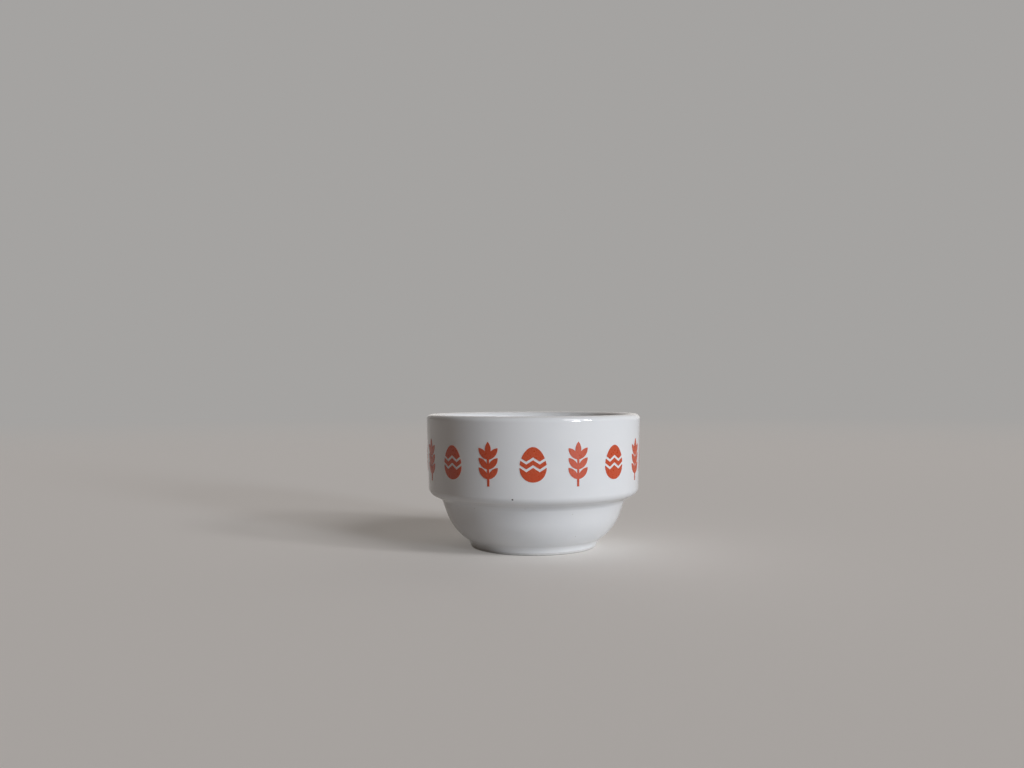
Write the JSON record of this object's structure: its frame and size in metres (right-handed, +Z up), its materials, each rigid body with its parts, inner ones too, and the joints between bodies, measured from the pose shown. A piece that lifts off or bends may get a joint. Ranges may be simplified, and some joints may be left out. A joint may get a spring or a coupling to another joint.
{
  "type": "egg cup",
  "caption": "Stacking porcelain egg cup: an upright collar steps in over a rounded shoulder to a small bowl on a low foot ring, with a one-colour printed border.",
  "frame": {"origin": "on the cup's axis, in the plane that the foot ring stands on", "axes": "+Z up along the cup's axis of revolution; -Y is the side that faces the viewer, with a printed egg in its middle"},
  "size_m": [0.05, 0.05, 0.0308],
  "materials": {
    "porcelain": "bare fired clay, matt",
    "glaze": "gloss",
    "enamel": "gloss"
  },
  "bodies": {
    "root": {"porcelain_body": "porcelain", "glaze_coat": "glaze", "base_glaze": "glaze", "egg_print_1": "enamel", "egg_print_2": "enamel", "egg_print_3": "enamel", "egg_print_4": "enamel", "egg_print_5": "enamel", "egg_print_6": "enamel", "egg_print_7": "enamel", "egg_print_8": "enamel", "sprig_print_1": "enamel", "sprig_print_2": "enamel", "sprig_print_3": "enamel", "sprig_print_4": "enamel", "sprig_print_5": "enamel", "sprig_print_6": "enamel", "sprig_print_7": "enamel", "sprig_print_8": "enamel"}
  },
  "joints": []
}
